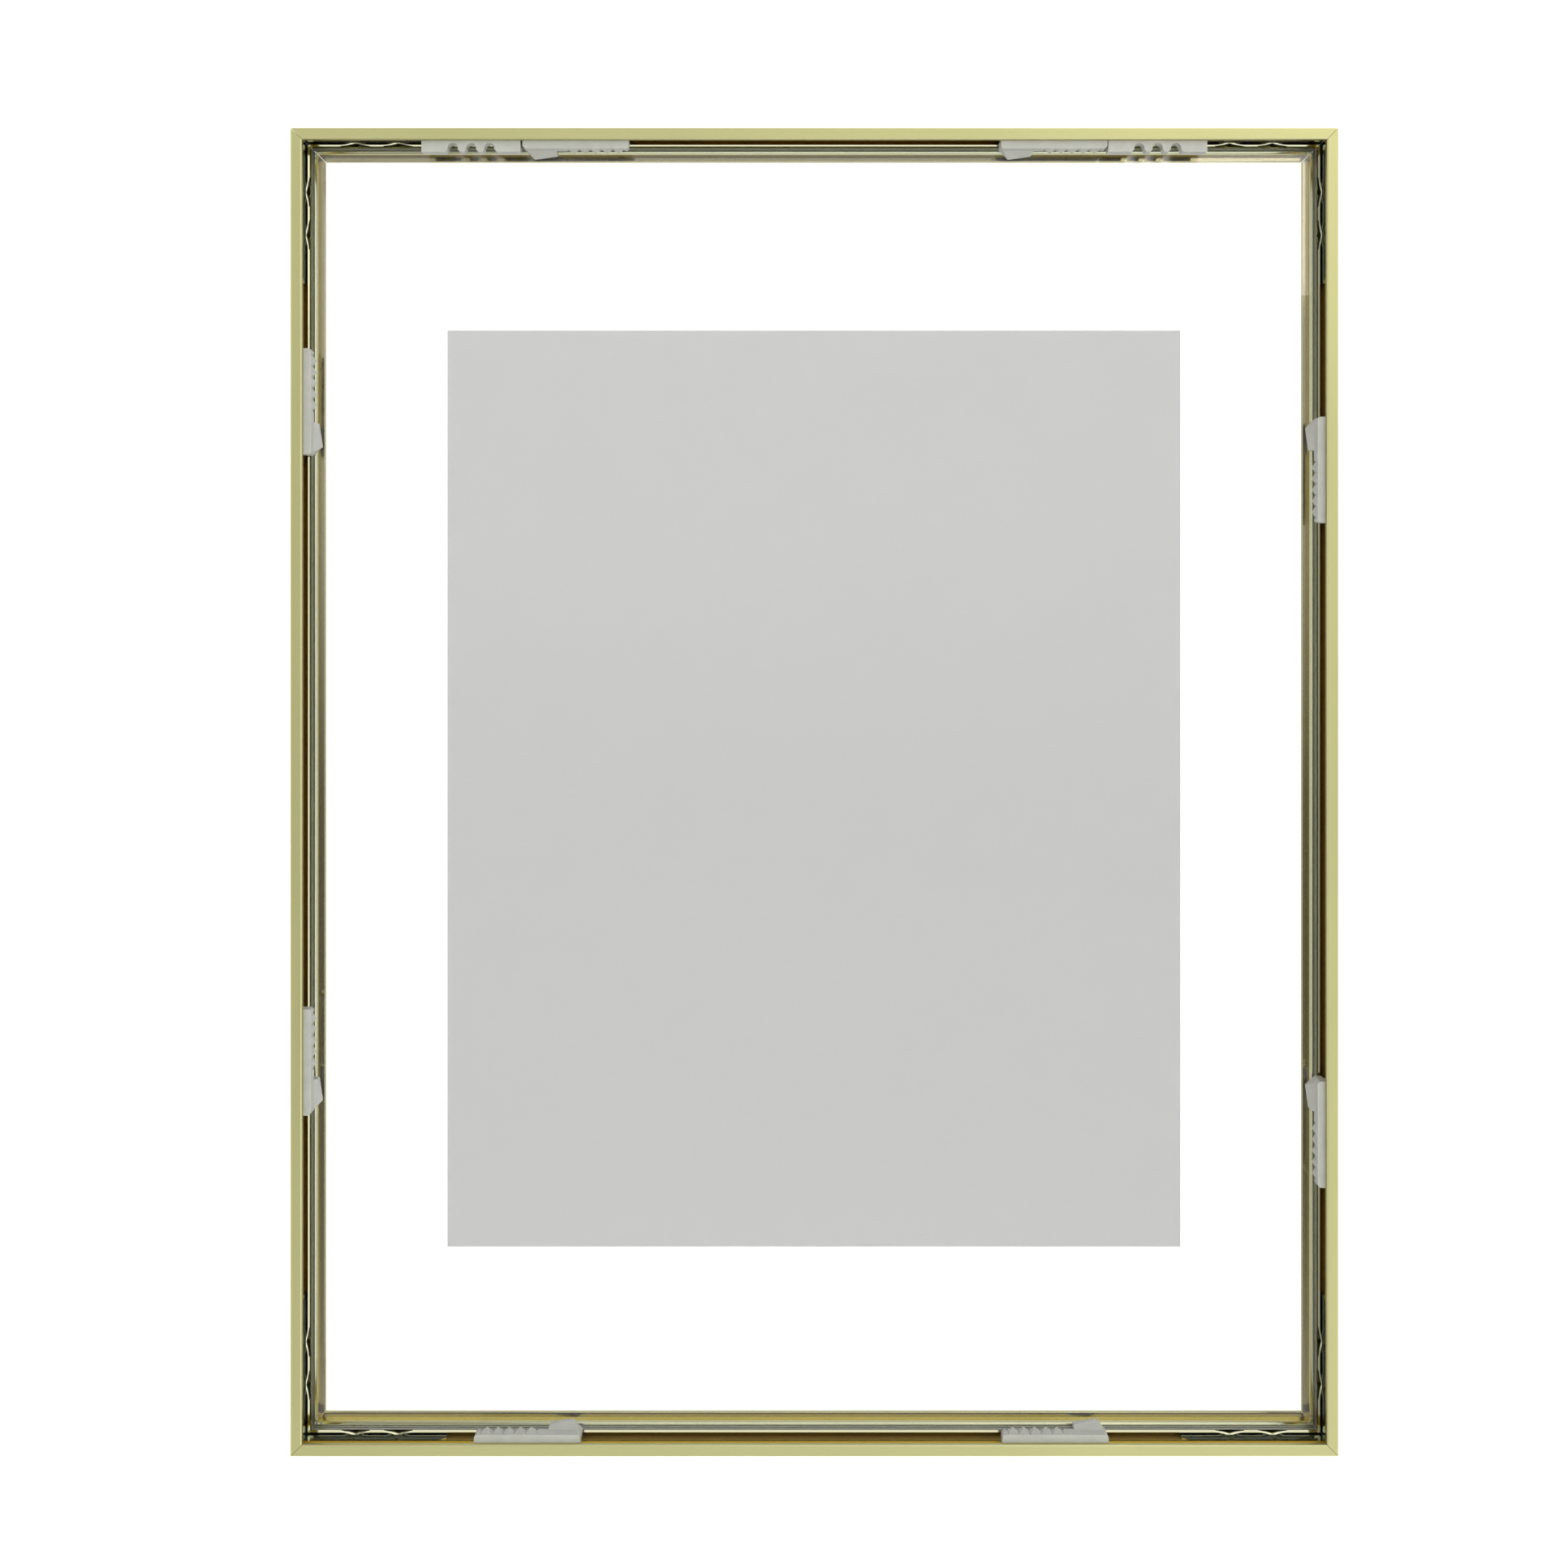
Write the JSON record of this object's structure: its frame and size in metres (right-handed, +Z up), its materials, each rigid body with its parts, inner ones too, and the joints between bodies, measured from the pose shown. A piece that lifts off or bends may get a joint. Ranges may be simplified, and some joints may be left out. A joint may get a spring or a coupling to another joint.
{
  "type": "floating picture frame",
  "caption": "Slim metal floating picture frame holding a small print between two clear glass panes, with sliding retaining clips and notched hangers at the back.",
  "frame": {"origin": "centre of the frame's outer box, halfway through its depth", "axes": "+Y points at the wall behind the frame and the art faces -Y, +Z is up the portrait frame, +X is to the right of somebody who looks at the art"},
  "size_m": [0.2856, 0.018, 0.362],
  "materials": {
    "gold_aluminium": "satin gold anodised outside, bright gold inside",
    "key_steel": "zinc plated strip",
    "clear_glass": "clear, seamed edges",
    "print_paper": "matt card, plain light grey",
    "white_nylon": "moulded off-white nylon, slightly translucent"
  },
  "bodies": {
    "frame": {"rail_bottom": "gold_aluminium", "rail_left": "gold_aluminium", "rail_top": "gold_aluminium", "rail_right": "gold_aluminium", "corner_key_bottom_left": "key_steel", "corner_key_top_left": "key_steel", "corner_key_top_right": "key_steel", "corner_key_bottom_right": "key_steel", "front_glass": "clear_glass", "art_print": "print_paper", "back_glass": "clear_glass"},
    "clip_bottom_right": {"clip_bottom_right": "white_nylon"},
    "clip_bottom_left": {"clip_bottom_left": "white_nylon"},
    "clip_left_lower": {"clip_left_lower": "white_nylon"},
    "clip_left_upper": {"clip_left_upper": "white_nylon"},
    "hanger_left": {"hanger_left": "white_nylon"},
    "clip_top_left": {"clip_top_left": "white_nylon"},
    "clip_top_right": {"clip_top_right": "white_nylon"},
    "hanger_right": {"hanger_right": "white_nylon"},
    "clip_right_upper": {"clip_right_upper": "white_nylon"},
    "clip_right_lower": {"clip_right_lower": "white_nylon"}
  },
  "joints": [
    {"name": "clip_bottom_right_slide", "type": "slide", "parent": "frame", "child": "clip_bottom_right", "axis": [-1, 0, 0], "range_m": [-0.0418, 0.0575]},
    {"name": "clip_bottom_left_slide", "type": "slide", "parent": "frame", "child": "clip_bottom_left", "axis": [-1, 0, 0], "range_m": [-0.0575, 0.0544]},
    {"name": "clip_left_lower_slide", "type": "slide", "parent": "frame", "child": "clip_left_lower", "axis": [0, 0, 1], "range_m": [-0.0648, 0.0761]},
    {"name": "clip_left_upper_slide", "type": "slide", "parent": "frame", "child": "clip_left_upper", "axis": [0, 0, 1], "range_m": [-0.0761, 0.0706]},
    {"name": "hanger_left_slide", "type": "slide", "parent": "frame", "child": "hanger_left", "axis": [1, 0, 0], "range_m": [-0.0275, 0]},
    {"name": "clip_top_left_slide", "type": "slide", "parent": "frame", "child": "clip_top_left", "axis": [1, 0, 0], "range_m": [0, 0.05067]},
    {"name": "clip_top_right_slide", "type": "slide", "parent": "frame", "child": "clip_top_right", "axis": [1, 0, 0], "range_m": [-0.05067, 0]},
    {"name": "hanger_right_slide", "type": "slide", "parent": "frame", "child": "hanger_right", "axis": [1, 0, 0], "range_m": [0, 0.0275]},
    {"name": "clip_right_upper_slide", "type": "slide", "parent": "frame", "child": "clip_right_upper", "axis": [0, 0, -1], "range_m": [-0.0519, 0.0756]},
    {"name": "clip_right_lower_slide", "type": "slide", "parent": "frame", "child": "clip_right_lower", "axis": [0, 0, -1], "range_m": [-0.0756, 0.0845]}
  ]
}
